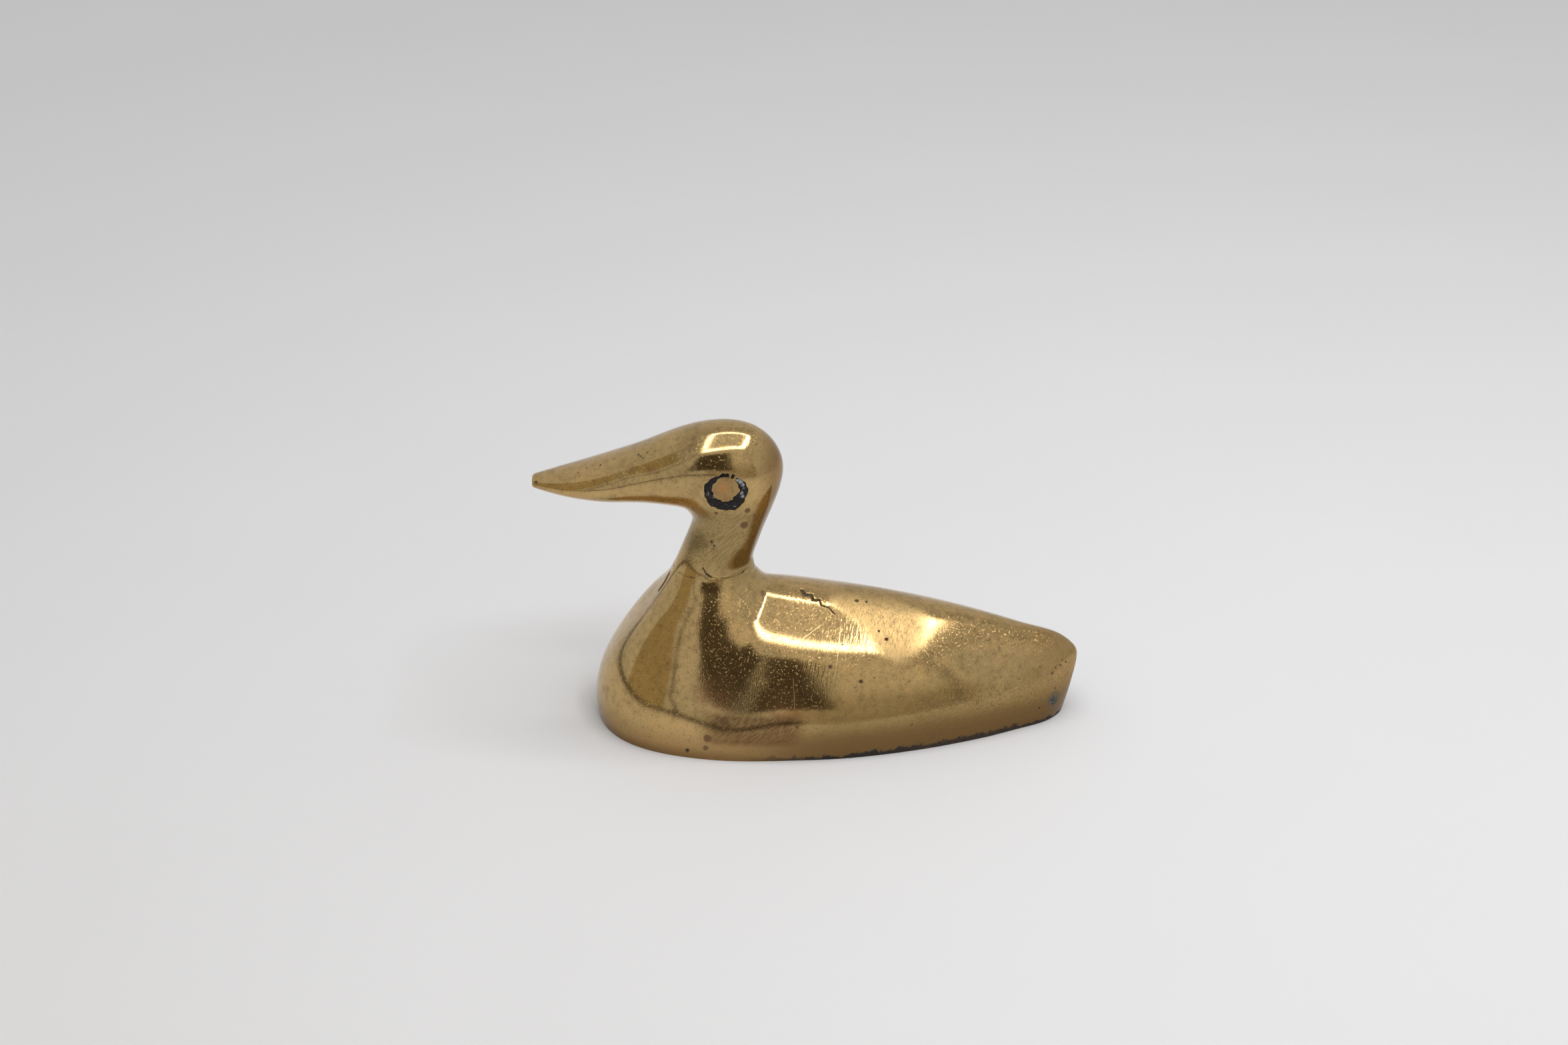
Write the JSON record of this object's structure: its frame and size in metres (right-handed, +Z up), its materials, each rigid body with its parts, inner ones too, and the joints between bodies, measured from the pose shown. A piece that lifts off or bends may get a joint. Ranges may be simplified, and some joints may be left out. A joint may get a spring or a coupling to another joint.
{
  "type": "duck paperweight",
  "caption": "Small solid cast brass duck with a long bill, smooth sloping back, flat resting base and a ring of worn black enamel round each eye.",
  "frame": {"origin": "on the base plane, midway between the bill tip and the tail end, on the middle plane", "axes": "+Z up, +X from the bill to the tail, so the duck looks along -X, and its left side is -Y"},
  "size_m": [0.101, 0.041, 0.0588],
  "materials": {
    "cast_brass": "hand-polished casting, worn, with pits, scratches and brown tarnish",
    "braze": "dressed flush, a little darker",
    "dowel_brass": "plain drawn rod",
    "enamel": "worn and chipped black enamel",
    "solder": "dull grey soft solder"
  },
  "bodies": {
    "root": {"body_casting": "cast_brass", "head_casting": "cast_brass", "neck_braze": "braze", "neck_dowel": "dowel_brass", "left_eye_enamel": "enamel", "right_eye_enamel": "enamel", "tail_plug": "solder"}
  },
  "joints": []
}
